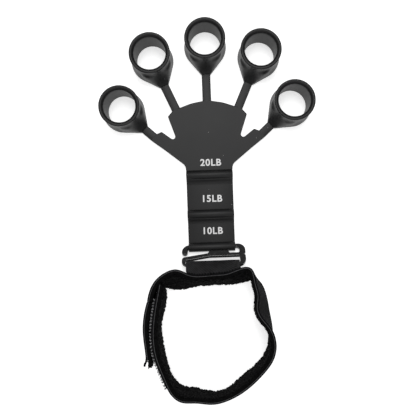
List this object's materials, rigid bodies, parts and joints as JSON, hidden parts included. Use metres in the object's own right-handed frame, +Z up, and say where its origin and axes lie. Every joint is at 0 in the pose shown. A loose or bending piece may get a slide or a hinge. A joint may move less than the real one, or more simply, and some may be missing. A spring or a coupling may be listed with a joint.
{
  "type": "finger exerciser",
  "caption": "Silicone hand with finger rings on stretching arms, a strap with cross tunnels, a metal G-hook and an adjustable plush-lined wrist band.",
  "frame": {"origin": "middle of the bounding box's underside, on the surface that the object lies on", "axes": "+X across the hand, +Y from the wrist band to the fingers, +Z up, along the finger bores"},
  "size_m": [0.1408, 0.2506, 0.025],
  "materials": {
    "silicone": "matte charcoal moulded silicone",
    "hook_metal": "gloss black enamel",
    "webbing": "smooth knitted nylon face",
    "plush": "brushed loop pile",
    "hook_tape": "nylon hook tape",
    "sleeve": "twill webbing",
    "print": "white silicone ink"
  },
  "bodies": {
    "palm": {"palm_plate": "silicone", "tunnel_upper": "silicone"},
    "strap_middle": {"strap_panel_middle": "silicone", "tunnel_middle": "silicone"},
    "strap_lower": {"strap_panel_lower": "silicone", "tunnel_lower": "silicone"},
    "arm_1": {"finger_arm_1": "silicone"},
    "ring_1": {"finger_ring_1": "silicone", "finger_neck_1": "silicone"},
    "arm_2": {"finger_arm_2": "silicone"},
    "ring_2": {"finger_ring_2": "silicone", "finger_neck_2": "silicone"},
    "arm_3": {"finger_arm_3": "silicone"},
    "ring_3": {"finger_ring_3": "silicone", "finger_neck_3": "silicone"},
    "arm_4": {"finger_arm_4": "silicone"},
    "ring_4": {"finger_ring_4": "silicone", "finger_neck_4": "silicone"},
    "arm_5": {"finger_arm_5": "silicone"},
    "ring_5": {"finger_ring_5": "silicone", "finger_neck_5": "silicone"},
    "hook": {"g_hook": "hook_metal"},
    "band": {"sleeve_tab": "sleeve", "band_webbing": "webbing", "band_lining": "plush", "hook_tape": "hook_tape"},
    "tail": {"tail_webbing": "webbing", "tail_lining": "plush"}
  },
  "joints": [
    {"name": "finger_curl_1", "type": "hinge", "parent": "palm", "child": "arm_1", "pos_m": [-0.03773, 0.05257, 0.0015], "axis": [0.6743, 0.7385, 0], "range_deg": [-45, 30], "stiffness_Nm_per_rad": 0.05},
    {"name": "finger_stretch_1", "type": "slide", "parent": "arm_1", "child": "ring_1", "axis": [-0.7385, 0.6743, 0], "range_m": [0, 0.02], "stiffness_N_per_m": 600},
    {"name": "finger_curl_2", "type": "hinge", "parent": "palm", "child": "arm_2", "pos_m": [-0.02173, 0.07111, 0.0015], "axis": [0.9143, 0.4051, 0], "range_deg": [-45, 30], "stiffness_Nm_per_rad": 0.05},
    {"name": "finger_stretch_2", "type": "slide", "parent": "arm_2", "child": "ring_2", "axis": [-0.4051, 0.9143, 0], "range_m": [0, 0.02], "stiffness_N_per_m": 600},
    {"name": "finger_curl_3", "type": "hinge", "parent": "palm", "child": "arm_3", "pos_m": [0, 0.07646, 0.0015], "axis": [1, 0, 0], "range_deg": [-45, 30], "stiffness_Nm_per_rad": 0.05},
    {"name": "finger_stretch_3", "type": "slide", "parent": "arm_3", "child": "ring_3", "axis": [0, 1, 0], "range_m": [0, 0.02], "stiffness_N_per_m": 600},
    {"name": "finger_curl_4", "type": "hinge", "parent": "palm", "child": "arm_4", "pos_m": [0.02173, 0.07111, 0.0015], "axis": [0.9143, -0.4051, 0], "range_deg": [-45, 30], "stiffness_Nm_per_rad": 0.05},
    {"name": "finger_stretch_4", "type": "slide", "parent": "arm_4", "child": "ring_4", "axis": [0.4051, 0.9143, 0], "range_m": [0, 0.02], "stiffness_N_per_m": 600},
    {"name": "finger_curl_5", "type": "hinge", "parent": "palm", "child": "arm_5", "pos_m": [0.03773, 0.05257, 0.0015], "axis": [0.6743, -0.7385, 0], "range_deg": [-45, 30], "stiffness_Nm_per_rad": 0.05},
    {"name": "finger_stretch_5", "type": "slide", "parent": "arm_5", "child": "ring_5", "axis": [0.7385, 0.6743, 0], "range_m": [0, 0.02], "stiffness_N_per_m": 600},
    {"name": "strap_flex_upper", "type": "hinge", "parent": "palm", "child": "strap_middle", "pos_m": [0, 0.01976, 0.0015], "axis": [-1, 0, 0], "range_deg": [-60, 60], "stiffness_Nm_per_rad": 0.3},
    {"name": "strap_flex_lower", "type": "hinge", "parent": "strap_middle", "child": "strap_lower", "pos_m": [0, -0.00654, 0.0015], "axis": [-1, 0, 0], "range_deg": [-60, 60], "stiffness_Nm_per_rad": 0.3},
    {"name": "hook_swing", "type": "hinge", "parent": "strap_lower", "child": "hook", "pos_m": [0.001, -0.02374, 0.0031], "axis": [1, 0, 0], "range_deg": [-50, 60]},
    {"name": "band_swing", "type": "hinge", "parent": "hook", "child": "band", "pos_m": [0.001, -0.035, 0.01189], "axis": [-1, 0, 0], "range_deg": [-35, 60]},
    {"name": "tail_peel", "type": "hinge", "parent": "band", "child": "tail", "pos_m": [-0.04176, -0.05476, 0.0125], "axis": [0, 0, -1], "range_deg": [0, 110], "stiffness_Nm_per_rad": 0.005}
  ]
}
